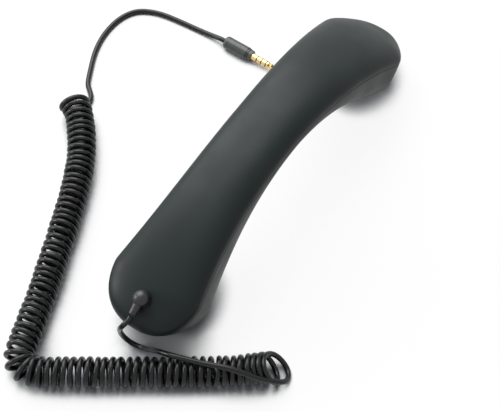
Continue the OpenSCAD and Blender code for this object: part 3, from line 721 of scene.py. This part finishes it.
studioSettings = {
    # shadeColour, shadeFrom and shadeTo paint contact shade into the floor's base colour by ambient
    # occlusion
    "floorColour": (0.95, 0.95, 0.95), "shadeColour": (0.30, 0.32, 0.36),
    "floorGlow": 0.9, "floorSize": 6.0,
    "contactReach": 0.018, "contactFrom": 0.5, "contactTo": 0.8,
    "shadeFrom": 0.15, "shadeTo": 0.7,
    "worldColour": (0.90, 0.95, 1.0), "worldStrength": 0.16,
    "keyPlace": (0.45, 0.75, 1.0), "keySize": 1.4, "keyPower": 30.0,
    "sidePlace": (-0.60, 1.0, 0.35), "sideSize": 0.45, "sidePower": 6.5,
}

def addAreaLight(name, place, size, power, aim=(0, 0, 0)):
    data = bpy.data.lights.new(name, "AREA")
    data.shape = "SQUARE"
    data.size = size
    data.energy = power
    light = bpy.data.objects.new(name, data)
    bpy.context.scene.collection.objects.link(light)
    turn = (Vector(aim) - Vector(place)).to_track_quat("-Z", "Y")
    light.matrix_world = Matrix.Translation(place) @ turn.to_matrix().to_4x4()

def mathNode(tree, operation, first, second):
    node = tree.nodes.new("ShaderNodeMath")
    node.operation = operation
    tree.links.new(first, node.inputs[0])
    tree.links.new(second, node.inputs[1])
    return node.outputs[0]

def seenRays(tree):
    path = tree.nodes.new("ShaderNodeLightPath")
    seen = mathNode(tree, "MAXIMUM", path.outputs["Is Camera Ray"], path.outputs["Is Glossy Ray"])
    return mathNode(tree, "MAXIMUM", seen, path.outputs["Is Transmission Ray"])

def mixShaders(tree, share, first, second):
    node = tree.nodes.new("ShaderNodeMixShader")
    tree.links.new(share, node.inputs["Fac"])
    tree.links.new(first, node.inputs[1])
    tree.links.new(second, node.inputs[2])
    return node.outputs["Shader"]

# White where it is seen and open from below; close to what lies on it the white glow stops and ambient
# occlusion darkens the colour, which is painted shade
def addFloor(settings):
    bm = bmesh.new()
    bmesh.ops.create_grid(bm, x_segments=1, y_segments=1, size=settings["floorSize"] / 2)
    floor = bpy.data.objects.new("paleFloor", meshFrom("paleFloor", bm))
    bpy.context.scene.collection.objects.link(floor)
    material = bpy.data.materials.new("paleTable")
    material.use_nodes = True
    tree = material.node_tree
    shader = tree.nodes["Principled BSDF"]
    shader.inputs["Roughness"].default_value = 0.6
    glow = tree.nodes.new("ShaderNodeEmission")
    contact = tree.nodes.new("ShaderNodeAmbientOcclusion")
    contact.inputs["Distance"].default_value = settings["contactReach"]
    # Ambient occlusion ends the white glow near what lies on the floor, so its lamp-lit shade shows there
    clear = tree.nodes.new("ShaderNodeMapRange")
    clear.interpolation_type = "SMOOTHSTEP"
    clear.inputs["From Min"].default_value = settings["contactFrom"]
    clear.inputs["From Max"].default_value = settings["contactTo"]
    clear.inputs["To Max"].default_value = settings["floorGlow"]
    tree.links.new(contact.outputs["AO"], clear.inputs["Value"])
    # Painted contact shade: ambient occlusion darkens the floor's base colour from floorColour to
    # shadeColour near what lies on it
    shade = tree.nodes.new("ShaderNodeValToRGB")
    shade.color_ramp.elements[0].position = settings["shadeFrom"]
    shade.color_ramp.elements[1].position = settings["shadeTo"]
    shade.color_ramp.elements[0].color = (*settings["shadeColour"], 1)
    shade.color_ramp.elements[1].color = (*settings["floorColour"], 1)
    tree.links.new(contact.outputs["AO"], shade.inputs["Fac"])
    tree.links.new(shade.outputs["Color"], shader.inputs["Base Color"])
    share = mathNode(tree, "MULTIPLY", seenRays(tree), clear.outputs["Result"])
    surface = mixShaders(tree, share, shader.outputs["BSDF"], glow.outputs["Emission"])
    below = tree.nodes.new("ShaderNodeNewGeometry")
    unseen = tree.nodes.new("ShaderNodeBsdfTransparent")
    surface = mixShaders(tree, below.outputs["Backfacing"], surface, unseen.outputs["BSDF"])
    tree.links.new(surface, tree.nodes["Material Output"].inputs["Surface"])
    floor.data.materials.append(material)

def addWorld(settings):
    world = bpy.data.worlds.new("studio")
    world.use_nodes = True
    tree = world.node_tree
    soft = tree.nodes["Background"]
    soft.inputs["Color"].default_value = (*settings["worldColour"], 1)
    soft.inputs["Strength"].default_value = settings["worldStrength"]
    white = tree.nodes.new("ShaderNodeBackground")
    white.inputs["Color"].default_value = (1, 1, 1, 1)
    white.inputs["Strength"].default_value = 1
    surface = mixShaders(tree, seenRays(tree), soft.outputs["Background"], white.outputs["Background"])
    tree.links.new(surface, tree.nodes["World Output"].inputs["Surface"])
    bpy.context.scene.world = world

addFloor(studioSettings)
addWorld(studioSettings)
addAreaLight("keyLight", studioSettings["keyPlace"], studioSettings["keySize"],
             studioSettings["keyPower"])
addAreaLight("sideLight", studioSettings["sidePlace"], studioSettings["sideSize"],
             studioSettings["sidePower"])
bpy.context.scene.view_settings.view_transform = "Standard"
print("studio: lit")
